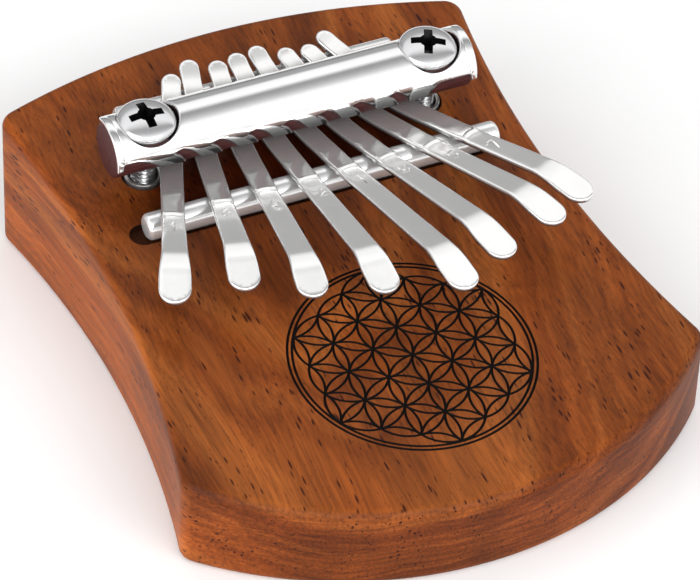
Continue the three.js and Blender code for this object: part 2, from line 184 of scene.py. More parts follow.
def boolean(obj, cutters, operation="DIFFERENCE"):
    for c in cutters:
        mod = obj.modifiers.new("cut", "BOOLEAN")
        mod.operation = operation
        mod.solver = "EXACT"
        mod.object = c
        bpy.context.view_layer.update()
        deps = bpy.context.evaluated_depsgraph_get()
        me = bpy.data.meshes.new_from_object(obj.evaluated_get(deps))
        obj.modifiers.clear()
        old, obj.data = obj.data, me
        bpy.data.meshes.remove(old)
    for c in cutters:
        bpy.data.objects.remove(c)


def lathe(rows, columns, axis="Z"):
    """Closed skin of a profile (r, z) or (r, z, thread depth) turned about Z, or about X."""
    verts, faces = [], []
    rings = []
    for row in rows:
        r, z = row[0], row[1]
        depth = row[2] if len(row) > 2 else 0
        if r < 1e-9:
            rings.append([len(verts)])
            verts.append((0, 0, z))
            continue
        ring = []
        for k in range(columns):
            t = 2 * math.pi * k / columns
            rr = r
            if depth:
                f = (z / 0.7 + k / columns) % 1.0
                rr = r - depth * min(1.0, max(0.0, abs(2 * f - 1) * 1.25 - 0.12))
            ring.append(len(verts))
            verts.append((rr * math.cos(t), rr * math.sin(t), z))
        rings.append(ring)
    for a, b in zip(rings, rings[1:]):
        if len(a) == 1 and len(b) == 1:
            continue
        for k in range(columns):
            j = (k + 1) % columns
            if len(a) == 1:
                faces.append((a[0], b[j], b[k]))
            elif len(b) == 1:
                faces.append((a[k], a[j], b[0]))
            else:
                faces.append((a[k], a[j], b[j], b[k]))
    if axis == "X":
        verts = [(z, y, -x) for x, y, z in verts]
    return verts, faces


def show(obj, node, body, material):
    obj.data.materials.clear()
    obj.data.materials.append(material)
    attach(obj, body)
    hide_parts(node)


# ---------------------------------------------------------------- materials
def tree(name):
    m = bpy.data.materials.new(name)
    m.use_nodes = True
    nt = m.node_tree
    nt.nodes.clear()
    out = nt.nodes.new("ShaderNodeOutputMaterial")
    bsdf = nt.nodes.new("ShaderNodeBsdfPrincipled")
    nt.links.new(bsdf.outputs["BSDF"], out.inputs["Surface"])
    return m, nt, bsdf


def put(nt, socket, value):
    if isinstance(value, bpy.types.NodeSocket):
        nt.links.new(value, socket)
    else:
        socket.default_value = value


def vmath(nt, op, a, b=None, scale=None):
    n = nt.nodes.new("ShaderNodeVectorMath")
    n.operation = op
    put(nt, n.inputs[0], a)
    if b is not None:
        put(nt, n.inputs[1], b)
    if scale is not None:
        put(nt, n.inputs["Scale"], scale)
    return n.outputs["Value"] if op == "LENGTH" else n.outputs["Vector"]


def math_(nt, op, a, b=None, clamp=False):
    n = nt.nodes.new("ShaderNodeMath")
    n.operation = op
    n.use_clamp = clamp
    put(nt, n.inputs[0], a)
    if b is not None:
        put(nt, n.inputs[1], b)
    return n.outputs[0]


def noise(nt, vector, scale=1.0, detail=2.0, rough=0.5, color=False):
    n = nt.nodes.new("ShaderNodeTexNoise")
    put(nt, n.inputs["Vector"], vector)
    n.inputs["Scale"].default_value = scale
    n.inputs["Detail"].default_value = detail
    n.inputs["Roughness"].default_value = rough
    return n.outputs["Color"] if color else n.outputs["Fac"]


def ramp(nt, fac, stops, interpolation="LINEAR"):
    n = nt.nodes.new("ShaderNodeValToRGB")
    put(nt, n.inputs["Fac"], fac)
    r = n.color_ramp
    r.interpolation = interpolation
    while len(r.elements) > 1:
        r.elements.remove(r.elements[-1])
    r.elements[0].position = stops[0][0]
    r.elements[0].color = stops[0][1]
    for pos, col in stops[1:]:
        e = r.elements.new(pos)
        e.color = col
    return n.outputs["Color"]


def mix(nt, fac, a, b, blend="MIX"):
    n = nt.nodes.new("ShaderNodeMix")
    n.data_type = "RGBA"
    n.blend_type = blend
    put(nt, n.inputs["Factor"], fac)
    put(nt, n.inputs["A"], a) if False else put(nt, n.inputs[6], a)
    put(nt, n.inputs[7], b)
    return n.outputs[2]


def srgb(r, g, b):
    f = lambda c: ((c / 255 + 0.055) / 1.055) ** 2.4 if c > 10 else c / 255 / 12.92
    return (f(r), f(g), f(b), 1.0)


def grey(v):
    return (v, v, v, 1.0)


def wood_material():
    m, nt, bsdf = tree("sapele")
    tc = nt.nodes.new("ShaderNodeTexCoord")
    p = vmath(nt, "SCALE", tc.outputs["Object"], scale=1000.0)
    slow = vmath(nt, "MULTIPLY", p, (0.035, 0.016, 0.035))
    warp = noise(nt, slow, 1.0, 2.0, color=True)
    warp = vmath(nt, "SCALE", vmath(nt, "SUBTRACT", warp, (0.5, 0.5, 0.5)), scale=9.0)
    q = vmath(nt, "ADD", p, warp)
    # growth rings round a pith above the board
    flat = vmath(nt, "MULTIPLY", vmath(nt, "ADD", q, (12.0, 0.0, -72.0)), (1.0, 0.035, 1.0))
    radius = vmath(nt, "LENGTH", flat)
    comb = nt.nodes.new("ShaderNodeCombineXYZ")
    nt.links.new(math_(nt, "MULTIPLY", radius, 0.30), comb.inputs[0])
    bands = noise(nt, comb.outputs[0], 1.0, 3.0, 0.62)
    base = ramp(nt, bands, [(0.30, srgb(92, 40, 12)), (0.40, srgb(126, 64, 24)), (0.50, srgb(148, 80, 34)),
                            (0.60, srgb(168, 98, 48)), (0.74, srgb(140, 72, 30))])
    # broad figure and fine fibres
    figure = noise(nt, vmath(nt, "MULTIPLY", q, (0.11, 0.028, 0.11)), 1.0, 2.0)
    base = mix(nt, 1.0, base, ramp(nt, figure, [(0.25, grey(0.58)), (0.75, grey(1.32))]), "MULTIPLY")
    fibre = noise(nt, vmath(nt, "MULTIPLY", q, (2.4, 0.07, 2.4)), 1.0, 4.0, 0.65)
    base = mix(nt, 1.0, base, ramp(nt, fibre, [(0.28, grey(0.55)), (0.5, grey(0.98)), (0.72, grey(1.36))]), "MULTIPLY")
    # pores
    v = nt.nodes.new("ShaderNodeTexVoronoi")
    put(nt, v.inputs["Vector"], vmath(nt, "MULTIPLY", q, (1.45, 0.26, 1.45)))
    v.inputs["Scale"].default_value = 1.0
    v.inputs["Randomness"].default_value = 1.0
    where = noise(nt, vmath(nt, "MULTIPLY", q, (0.35, 0.1, 0.35)), 1.0, 1.0)
    reach = math_(nt, "MAXIMUM", math_(nt, "MULTIPLY", math_(nt, "SUBTRACT", where, 0.27), 0.80), 0.004)
    pore = math_(nt, "SUBTRACT", 1.0, math_(nt, "DIVIDE", v.outputs["Distance"], reach), clamp=True)
    pore = math_(nt, "MULTIPLY", pore, 2.2, clamp=True)
    base = mix(nt, math_(nt, "MULTIPLY", pore, 0.92), base, srgb(52, 14, 5))
    # smaller scattered pores
    v2 = nt.nodes.new("ShaderNodeTexVoronoi")
    put(nt, v2.inputs["Vector"], vmath(nt, "MULTIPLY", q, (2.4, 0.55, 2.4)))
    v2.inputs["Scale"].default_value = 1.0
    small = math_(nt, "MULTIPLY", math_(nt, "SUBTRACT", 0.17, v2.outputs["Distance"]), 14.0, clamp=True)
    base = mix(nt, math_(nt, "MULTIPLY", small, 0.6), base, srgb(66, 22, 9))
    base = mix(nt, 1.0, base, (0.76, 0.66, 0.48, 1.0), "MULTIPLY")
    # painted shade: the sawn front face is darkened, with level streaks in it; painted light: the left side is
    # lightened
    geo = nt.nodes.new("ShaderNodeNewGeometry")
    ns = nt.nodes.new("ShaderNodeSeparateXYZ")
    nt.links.new(geo.outputs["Normal"], ns.inputs[0])
    front = math_(nt, "MULTIPLY", math_(nt, "SUBTRACT", math_(nt, "MULTIPLY", ns.outputs[1], -1.0), 0.35), 2.0, clamp=True)
    left = math_(nt, "MULTIPLY", math_(nt, "SUBTRACT", math_(nt, "MULTIPLY", ns.outputs[0], -1.0), 0.35), 2.0, clamp=True)
    level = noise(nt, vmath(nt, "MULTIPLY", q, (0.09, 0.09, 2.2)), 1.0, 4.0, 0.6)
    base = mix(nt, front, base, mix(nt, 1.0, base, ramp(nt, level, [(0.3, (0.42, 0.34, 0.26, 1)), (0.5, (0.72, 0.66, 0.58, 1)),
                                                                    (0.7, (0.95, 0.88, 0.8, 1))]), "MULTIPLY"))
    # painted light: the left-facing side is multiplied lighter
    base = mix(nt, left, base, mix(nt, 1.0, base, (1.45, 1.42, 1.3, 1.0), "MULTIPLY"))
    # painted shadow: the face under the pressure bar, darker
    ps = nt.nodes.new("ShaderNodeSeparateXYZ")
    nt.links.new(p, ps.inputs[0])
    under_bar_painted_shadow = math_(nt, "MULTIPLY", math_(nt, "SUBTRACT", 21.5, math_(nt, "ABSOLUTE", math_(nt, "ADD", ps.outputs[0], 1.5))), 0.3, clamp=True)
    under_bar_painted_shadow = math_(nt, "MULTIPLY", under_bar_painted_shadow, math_(nt, "MULTIPLY", math_(nt, "SUBTRACT", ps.outputs[1], 12.2), 0.6, clamp=True))
    under_bar_painted_shadow = math_(nt, "MULTIPLY", under_bar_painted_shadow, math_(nt, "MULTIPLY", math_(nt, "SUBTRACT", 27.5, ps.outputs[1]), 0.5, clamp=True))
    under_bar_painted_shadow = math_(nt, "MULTIPLY", under_bar_painted_shadow, math_(nt, "SUBTRACT", 1.0, front))
    base = mix(nt, math_(nt, "MULTIPLY", under_bar_painted_shadow, 0.9), base, mix(nt, 1.0, base, (0.30, 0.16, 0.16, 1.0), "MULTIPLY"))
    # burnt lines of the engraving, and painted shade on the walls and floors of the cuts
    at = nt.nodes.new("ShaderNodeAttribute")
    at.attribute_name = "burn_and_cut_shade"
    base = mix(nt, at.outputs["Fac"], base, srgb(14, 8, 6))
    nt.links.new(base, bsdf.inputs["Base Color"])
    rough = math_(nt, "ADD", math_(nt, "MULTIPLY", fibre, 0.22), 0.36)
    nt.links.new(math_(nt, "ADD", rough, math_(nt, "MULTIPLY", at.outputs["Fac"], 0.35), clamp=True), bsdf.inputs["Roughness"])
    bsdf.inputs["Specular IOR Level"].default_value = 0.14
    height = math_(nt, "SUBTRACT", math_(nt, "MULTIPLY", fibre, 0.25), pore)
    bump = nt.nodes.new("ShaderNodeBump")
    bump.inputs["Strength"].default_value = 0.35
    bump.inputs["Distance"].default_value = 0.00006
    nt.links.new(height, bump.inputs["Height"])
    nt.links.new(bump.outputs[0], bsdf.inputs["Normal"])
    return m


def dowel_material():
    m, nt, bsdf = tree("dowel_wood")
    tc = nt.nodes.new("ShaderNodeTexCoord")
    p = vmath(nt, "SCALE", tc.outputs["Object"], scale=1000.0)
    grain = noise(nt, vmath(nt, "MULTIPLY", p, (0.25, 3.2, 3.2)), 1.0, 3.0, 0.6)
    base = ramp(nt, grain, [(0.3, srgb(46, 20, 20)), (0.55, srgb(76, 36, 36)), (0.75, srgb(96, 50, 46))])
    at = nt.nodes.new("ShaderNodeAttribute")
    at.attribute_name = "painted_shade"
    # painted shade: bores and pockets mixed towards near black
    base = mix(nt, at.outputs["Fac"], base, srgb(14, 9, 8))
    nt.links.new(base, bsdf.inputs["Base Color"])
    nt.links.new(math_(nt, "ADD", math_(nt, "MULTIPLY", grain, 0.2), 0.40), bsdf.inputs["Roughness"])
    bsdf.inputs["Specular IOR Level"].default_value = 0.4
    return m


def metal_material(name, color, rough, spread, grain, metallic=0.78):
    m, nt, bsdf = tree(name)
    tc = nt.nodes.new("ShaderNodeTexCoord")
    p = vmath(nt, "SCALE", tc.outputs["Object"], scale=1000.0)
    smudge = noise(nt, vmath(nt, "MULTIPLY", p, (0.35, 0.35, 0.35)), 1.0, 3.0, 0.6)
    fine = noise(nt, vmath(nt, "MULTIPLY", p, grain), 1.0, 2.0, 0.5)
    bsdf.inputs["Metallic"].default_value = metallic
    at = nt.nodes.new("ShaderNodeAttribute")
    at.attribute_name = "painted_shade"
    tint = ramp(nt, smudge, [(0.3, tuple(c * 0.96 for c in color[:3]) + (1,)), (0.7, color)])
    # painted shade: the corner attribute mixes the metal towards near black
    tint = mix(nt, at.outputs["Fac"], tint, grey(0.02))
    nt.links.new(tint, bsdf.inputs["Base Color"])
    nt.links.new(math_(nt, "ADD", math_(nt, "MULTIPLY", fine, spread), rough - spread / 2), bsdf.inputs["Roughness"])
    return m


WOOD = wood_material()
DOWEL = dowel_material()
CHROME = metal_material("polished_chrome", (0.93, 0.93, 0.93, 1), 0.10, 0.05, (0.6, 6.0, 6.0), 0.88)
ROD = metal_material("rod_chrome", (0.93, 0.93, 0.93, 1), 0.12, 0.05, (0.6, 6.0, 6.0), 0.62)
SCREW = metal_material("screw_plating", (0.74, 0.74, 0.75, 1), 0.16, 0.06, (4.0, 4.0, 4.0))
INSERT = metal_material("insert_plating", (0.42, 0.41, 0.40, 1), 0.22, 0.08, (4.0, 4.0, 4.0))
STEEL = metal_material("spring_steel", (0.90, 0.895, 0.885, 1), 0.12, 0.06, (5.0, 0.5, 5.0))
for slot, mat in (("body_wood", WOOD), ("bar_hardwood", DOWEL), ("chrome", CHROME), ("chrome", ROD),
                  ("screw_chrome", SCREW), ("insert_steel", INSERT), ("key_steel", STEEL)):
    mat["slot"] = slot


# ---------------------------------------------------------------- body
def circle_meet(c1, r1, c2, r2, near):
    d = c2 - c1
    D = np.hypot(*d)
    a = (r1 * r1 - r2 * r2 + D * D) / (2 * D)
    h = math.sqrt(max(r1 * r1 - a * a, 0))
    m = c1 + d * a / D
    n = np.array([-d[1], d[0]]) / D
    return min((m + n * h, m - n * h), key=lambda q: np.hypot(*(q - near)))


def outline(inset):
    inset = inset + 0.02
    rear_r = (REAR_HW ** 2 + REAR_BULGE ** 2) / (2 * REAR_BULGE)
    rear_c = np.array([0, REAR_Y + REAR_BULGE - rear_r])
    front_r = (FRONT_HW ** 2 + FRONT_BULGE ** 2) / (2 * FRONT_BULGE)
    front_c = np.array([0, FRONT_Y - FRONT_BULGE + front_r])
    chord = np.array([REAR_HW - FRONT_HW, REAR_Y - FRONT_Y])
    c = np.hypot(*chord)
    side_r = (c * c / 4 + WAIST ** 2) / (2 * WAIST)
    side_c = np.array([(REAR_HW + FRONT_HW) / 2, (REAR_Y + FRONT_Y) / 2]) + \
        np.array([chord[1], -chord[0]]) / c * (side_r - WAIST)
    r = CORNER_R
    rc = circle_meet(rear_c, rear_r - r, side_c, side_r + r, np.array([REAR_HW, REAR_Y]))
    fc = circle_meet(front_c, front_r - r, side_c, side_r + r, np.array([FRONT_HW, FRONT_Y]))
    ang = lambda v: math.atan2(v[1], v[0])
    pts = []

    def arc(centre, radius, a0, a1, n):
        for i in range(n + 1):
            t = a0 + (a1 - a0) * i / n
            pts.append((centre[0] + radius * math.cos(t), centre[1] + radius * math.sin(t)))

    f1 = ang(fc - front_c)
    arc(front_c, front_r - inset, -math.pi / 2, f1, 44)
    arc(fc, max(r - inset, 0.02), f1, ang(side_c - fc), 14)
    s0, s1 = ang(fc - side_c) % (2 * math.pi), ang(rc - side_c) % (2 * math.pi)
    arc(side_c, side_r + inset, s0, s1, 50)
    b1 = ang(rc - rear_c)
    arc(rc, max(r - inset, 0.02), ang(side_c - rc), b1, 14)
    arc(rear_c, rear_r - inset, b1, math.pi / 2, 36)
    half = [pts[0]]
    for q in pts[1:]:
        if math.hypot(q[0] - half[-1][0], q[1] - half[-1][1]) > 1e-4:
            half.append(q)
    return np.array(half + [(-x, y) for x, y in half[1:-1][::-1]])


def capsule(x0, x1, s, r, n=24):
    a = [(x1 - r + r * math.cos(t), s + r * math.sin(t)) for t in np.linspace(-math.pi / 2, math.pi / 2, n)]
    b = [(x0 + r + r * math.cos(t), s + r * math.sin(t)) for t in np.linspace(math.pi / 2, 3 * math.pi / 2, n)]
    return np.array(a + b)


def disc(x, s, r, n=56):
    t = np.arange(n) * 2 * math.pi / n
    return np.stack([x + r * np.cos(t), s + r * np.sin(t)], 1)


def rosette():
    """Arcs of the engraved flower, as polylines in the slope frame."""
    r = 5.15
    a = math.radians(30 + 1.65)
    nodes = []
    for j in range(-6, 7):
        for i in range(-6, 7):
            lx, ly = i + j / 2, j * math.sqrt(3) / 2
            nodes.append((r * (math.cos(a) * lx + math.sin(a) * ly), r * (-math.sin(a) * lx + math.cos(a) * ly)))
    N = np.array(nodes)
    rad = np.hypot(N[:, 0], N[:, 1])
    lines = []
    keep = [k for k in range(len(N)) if rad[k] <= 3.02 * r]
    for c in range(len(N)):
        around = [k for k in keep if abs(np.hypot(*(N[k] - N[c])) - r) < 1e-3]
        for k in around:
            for l in around:
                if abs(np.hypot(*(N[k] - N[l])) - r) < 1e-3:
                    t0 = math.atan2(*(N[k] - N[c])[::-1])
                    t1 = math.atan2(*(N[l] - N[c])[::-1])
                    d = (t1 - t0 + math.pi) % (2 * math.pi) - math.pi
                    if d > 0:
                        t = np.linspace(t0, t0 + d, 11)
                        lines.append(np.stack([N[c][0] + r * np.cos(t), N[c][1] + r * np.sin(t)], 1))
    t = np.linspace(0, 2 * math.pi, 145)
    for R in (3.025 * r, 3.145 * r):
        lines.append(np.stack([R * np.cos(t), R * np.sin(t)], 1))
    return [l + np.array([-0.74, 0.0]) for l in lines]


def body_mesh():
    plan = Plan()
    top = outline(TOP_R)
    ring = np.stack([top[:, 0], (top[:, 1] - S0Y) / math.cos(ALPHA)], 1)
    i_ring = plan.loop(ring)
    cuts = [(capsule(-26.7, 27.5, FROD_S, SLOT_R), -SLOT_D), (capsule(-22.0, 22.0, RROD_S, SLOT_R), -SLOT_D),
            (disc(-SCREW_X, BAR_S, 2.9), -9.4), (disc(SCREW_X, BAR_S, 2.9), -9.4)]
    i_cuts = [plan.loop(c) for c, _ in cuts]
    # a hair of edge rounding round each cut
    for c, _ in cuts:
        plan.loop(offset_loop(c, -0.12))
    GW, GD = 0.36, 0.24
    lines = rosette()
    for l in lines:
        plan.groove(l, GW)
    v, faces, back = plan.solve()
    A = np.concatenate([l[:-1] for l in lines])
    B = np.concatenate([l[1:] for l in lines])
    near = np.hypot(v[:, 0] + 0.74, v[:, 1]) < 17.2
    depth = np.zeros(len(v))
    dist = np.full(len(v), 9.0)
    dist[near] = seg_dist(v[near], A, B)
    depth[near] = GD * np.clip(1 - dist[near] / (GW / 2), 0, 1)
    depth[near & (depth < 0.004)] = 0
    # cut edges sit slightly low
    for c, _ in cuts:
        L = loop_segments([c])
        close = np.hypot(*(v - np.clip(v, c.min(0) - 0.2, c.max(0) + 0.2)).T) < 1e-9
        d = seg_dist(v[close], *L)
        depth[close] = np.maximum(depth[close], np.where(d < 0.11, 0.10 * (1 - d / 0.12), 0))
    tri = np.array([f for f in faces if len(f) == 3])
    centre = v[tri].mean(1)
    ok = inside(centre, ring)
    for c, _ in cuts:
        ok &= ~inside(centre, c)
    tri, centre = tri[ok], centre[ok]
    near_c = np.hypot(centre[:, 0] + 0.74, centre[:, 1]) < 17.2
    burnt = np.zeros(len(tri), bool)
    burnt[near_c] = seg_dist(centre[near_c], A, B) < GW / 2 * 0.98
    verts = [(x, s, -d) for (x, s), d in zip(v, depth)]
    out = [tuple(t) for t in tri]
    burn_and_cut_shade = [1.0 if b else 0.0 for b in burnt]
    flat = len(out)
    # walls and floors of the cuts, darkened with painted shade
    for idx, (c, floor) in zip(i_cuts, cuts):
        up = [back[k] for k in idx]
        low = list(range(len(verts), len(verts) + len(up)))
        verts += [(c[k][0], c[k][1], floor) for k in range(len(c))]
        n = len(up)
        burn_and_cut_shade += [0.0] * (len(out) - len(burn_and_cut_shade))
        out += [(up[k], up[(k + 1) % n], low[(k + 1) % n], low[k]) for k in range(n)]
        out.append(tuple(low))
        # painted shade in the cuts: 0.8 of the burnt colour
        burn_and_cut_shade += [0.8] * (n + 1)
    # edges and sides, down to the base
    ca, sa = math.cos(ALPHA), math.sin(ALPHA)

    def to_slope(x, y, z):
        dy, dz = y - S0Y, z - S0Z
        return (x, dy * ca + dz * sa, -dy * sa + dz * ca)

    def top_z(y):
        return S0Z + (y - S0Y) * math.tan(ALPHA)

    prev = [back[k] for k in i_ring]
    n = len(prev)
    levels = []
    for i in range(9, -1, -1):
        t = i / 10 * math.pi / 2
        ins, drop = TOP_R * (1 - math.cos(t)), TOP_R * (1 - math.sin(t))
        levels.append([(x, y, top_z(y) - drop) for x, y in outline(ins)])
    o0 = outline(0)
    for f in (0.25, 0.5, 0.75):
        levels.append([(x, y, (top_z(y) - TOP_R) * (1 - f) + BOT_R * f) for x, y in o0])
    for i in range(0, 7):
        t = i / 6 * math.pi / 2
        levels.append([(x, y, BOT_R * (1 - math.sin(t))) for x, y in outline(BOT_R * (1 - math.cos(t)))])
    for lev in levels:
        low = list(range(len(verts), len(verts) + n))
        verts += [to_slope(*q) for q in lev]
        out += [(prev[k], prev[(k + 1) % n], low[(k + 1) % n], low[k]) for k in range(n)]
        prev = low
    out.append(tuple(prev))
    burn_and_cut_shade += [0.0] * (len(out) - len(burn_and_cut_shade))
    me = bpy.data.meshes.new("wood_block")
    me.from_pydata(verts, [], out)
    at = me.attributes.new("burn_and_cut_shade", "FLOAT", "CORNER")
    values = np.zeros(len(me.loops), np.float32)
    start = np.zeros(len(me.polygons), int)
    total = np.zeros(len(me.polygons), int)
    me.polygons.foreach_get("loop_start", start)
    me.polygons.foreach_get("loop_total", total)
    for s, t, b in zip(start, total, burn_and_cut_shade):
        if b:
            values[s:s + t] = b
    at.data.foreach_set("value", values)
    obj = bpy.data.objects.new("wood_block", me)
    bpy.context.scene.collection.objects.link(obj)
    finish_mesh(obj, SLOPE, 25)
    return obj


body = body_mesh()
show(body, "body", "instrument", WOOD)


# ---------------------------------------------------------------- rods
def rod(name, node, x0, x1, s):
    dome = 0.75
    rows = [(0, x0)]
    for i in range(1, 10):
        t = i / 9 * math.pi / 2
        rows.append((ROD_R - dome + dome * math.sin(t), x0 + dome * (1 - math.cos(t))))
    for k in range(1, 12):
        rows.append((ROD_R, x0 + dome + (x1 - x0 - 2 * dome) * k / 12))
    for i in range(0, 9):
        t = i / 9 * math.pi / 2
        rows.append((ROD_R - dome + dome * math.cos(t), x1 - dome * (1 - math.sin(t))))
    rows.append((0, x1))
    v, f = lathe(rows, 72, "X")
    obj = make(name, [(x, y + s, z + ROD_N) for x, y, z in v], f, sharp=40)
    show(obj, node, "instrument", ROD)


rod("bridge_rod_front", "front_bridge_rod", FROD_X0, FROD_X1, FROD_S)
rod("bridge_rod_rear", "rear_bridge_rod", -RROD_H, RROD_H, RROD_S)


# ---------------------------------------------------------------- sheet builder
def sheet(boundary, holes, strokes, dots, place, thickness, edge, stroke_w=0.3, stroke_d=0.1, shape=None,
          inner_edge=None):
    """A plate with rounded edges, cut from a flat pattern and laid on place(u, v, h)."""
    plan = Plan()
    loops = [np.asarray(boundary, float)] + [np.asarray(h, float) for h in holes]
    idx = [plan.loop(l) for l in loops]
    A, B = loop_segments(loops)
    for l in loops:
        for f in (0.12, 0.32, 0.6, 1.0):
            plan.loop(offset_loop(l, f * edge))
    for s in strokes:
        plan.groove(s, stroke_w)
    dots = np.asarray(dots, float)
    keep = inside(dots, loops[0])
    for h in loops[1:]:
        keep &= ~inside(dots, h)
    dots = dots[keep]
    dots = dots[seg_dist(dots, A, B) > edge * 1.35]
    if strokes:
        SA = np.concatenate([np.asarray(s, float)[:-1] for s in strokes])
        SB = np.concatenate([np.asarray(s, float)[1:] for s in strokes])
        dots = dots[seg_dist(dots, SA, SB) > stroke_w * 0.8]
    plan.dots(dots)
    v, faces, back = plan.solve()
    tri = np.array([f for f in faces if len(f) == 3])
    centre = v[tri].mean(1)
    ok = inside(centre, loops[0])
    for h in loops[1:]:
        ok &= ~inside(centre, h)
    tri = tri[ok]
    d = seg_dist(v, A, B)

    def drop(r):
        return np.where(d < r, r - np.sqrt(np.maximum(r * r - (r - d) ** 2, 0)), 0)

    top = thickness - drop(edge)
    if strokes:
        sd = seg_dist(v, SA, SB)
        top -= stroke_d * np.clip(1 - sd / (stroke_w / 2), 0, 1)
    if shape is not None:
        top -= shape(v[:, 0], v[:, 1])
    low = drop(edge if inner_edge is None else inner_edge) if inner_edge != 0 else np.zeros(len(v))
    P = place(v[:, 0], v[:, 1], top)
    Q = place(v[:, 0], v[:, 1], low)
    n = len(v)
    verts = [tuple(p) for p in P] + [tuple(q) for q in Q]
    out = [tuple(t) for t in tri] + [(t[2] + n, t[1] + n, t[0] + n) for t in tri]
    for l in idx:
        b = [back[k] for k in l]
        m = len(b)
        for k in range(m):
            a, c = b[k], b[(k + 1) % m]
            if a != c:
                out.append((a, a + n, c + n, c))
    return verts, out


# ---------------------------------------------------------------- pressure bar
def cap_pattern():
    rad = math.radians
    tips = [(-19.9, -16.5), (-14.3, -11.2), (-8.9, -6.0), (-3.8, -1.0), (1.3, 4.3), (6.3, 9.2), (11.5, 14.7), (16.3, 19.5)]

    def curve(p0, p1, p2, n):
        t = np.linspace(0, 1, n)[:, None]
        return (1 - t) ** 2 * np.array(p0) + 2 * t * (1 - t) * np.array(p1) + t ** 2 * np.array(p2)

    H = BAR_H
    # counter-clockwise: along the front edge from left to right, then back along the rear edge
    pts = [(-H, -1.0), (-H + 0.8, -1.0), (-H + 0.95, 12.0), (-H + 1.35, 13.2)]
    prev = None
    for k, (tl, tr) in enumerate(tips):
        if prev is None:
            start = (-H + 2.6, 13.2)
            pts += list(curve(start, (tl - 2.2, 11.0), (tl, -14.3), 9))
        else:
            gap = tl - prev
            pts += list(curve((prev - 0.55, 16.2), (prev + 0.35 * gap, 13.0), (tl, -14.3), 9))
        pts += [(tl + 0.12, -15.0)]
        pts += [(tr - 0.12, -15.0), (tr, -14.6)]
        if k < 7:
            pts += list(curve((tr - 0.12, -13.5), (tr - 0.5, 4.0), (tr - 1.75, 10.2), 6))
            pts += [(tr - 1.62, 11.4)]
            pts += [(tr - 1.2, 13.8)]
        else:
            pts += list(curve((tr - 0.05, -13.5), (tr + 0.2, 8.0), (tr + 1.5, 13.0), 7))
        prev = tr
    pts += [(H - 1.35, 13.2), (H - 0.95, 12.0), (H - 0.8, -1.0), (H, -1.0)]
    pts += [(H, a) for a in np.linspace(12, 124, 26)] + [(H - 0.25, 130.0), (H - 0.9, 142.0), (H - 1.8, 158.0)]
    pts += [(x, 167.0) for x in np.linspace(H - 2.6, -H + 2.6, 60)]
    pts += [(-H + 1.8, 158.0), (-H + 0.9, 142.0), (-H + 0.25, 130.0)] + [(-H, a) for a in np.linspace(124, 12, 26)]
    return np.array([(x, rad(a) * CAP_RO) for x, a in pts])


def densify(P, step):
    out = []
    for a, b in zip(P, np.roll(P, -1, 0)):
        k = max(1, int(math.ceil(np.hypot(*(b - a)) / step)))
        out += [tuple(a + (b - a) * i / k) for i in range(k)]
    return np.array(out)


def pocket_loop(cx):
    z = POCKET_N - BAR_N
    reach = math.asin(math.sqrt(CAP_RO ** 2 - z ** 2) / CAP_RO) * CAP_RO
    t = np.linspace(0, 2 * math.pi, 97)[:-1]
    return np.stack([cx + 0.14 + 4.2 * np.cos(t), math.pi / 2 * CAP_RO - reach * np.sin(t)], 1)


def cap_mesh():
    outer = densify(cap_pattern(), 0.45)
    holes = [pocket_loop(-SCREW_X), pocket_loop(SCREW_X)]
    gx = np.arange(-25.8, 25.9, 0.7)
    ga = np.radians(np.arange(-14, 166, 3.0)) * CAP_RO
    dots = np.stack(np.meshgrid(gx, ga), -1).reshape(-1, 2)
    wall = CAP_RO - CAP_RI

    def place(x, a, h):
        phi = a / CAP_RO
        r = CAP_RI + h
        return np.stack([x, BAR_S - r * np.cos(phi), BAR_N + r * np.sin(phi)], 1)

    strokes = [[(x, math.radians(a) * CAP_RO) for a in np.linspace(5, 122, 50)] for x in (-BAR_H + 1.05, BAR_H - 1.05)]
    return sheet(outer, holes, strokes, dots, place, wall, 0.17, 0.3, 0.09, inner_edge=0)


v, f = cap_mesh()


def cap_shade(face, vert):
    """Painted shade on the outer faces, darker towards the teeth; the sheared edges stay bright."""
    if len(f[face]) == 4:
        return 0.0
    x, s, n = v[vert]
    phi = math.degrees(math.atan2(n - BAR_N, BAR_S - s))
    r = math.hypot(n - BAR_N, BAR_S - s)
    t = min(1.0, max(0.0, (18.0 - phi) / 7.0)) if abs(phi) < 90 else 0.0
    if r < CAP_RO - 0.06 or abs(x) > BAR_H - 1.0:
        return 0.0
    return 0.80 * t * t * (3 - 2 * t)


cap = make("chrome_cap", v, f, sharp=40, shade=cap_shade)
show(cap, "pressure_bar_cap", "instrument", CHROME)


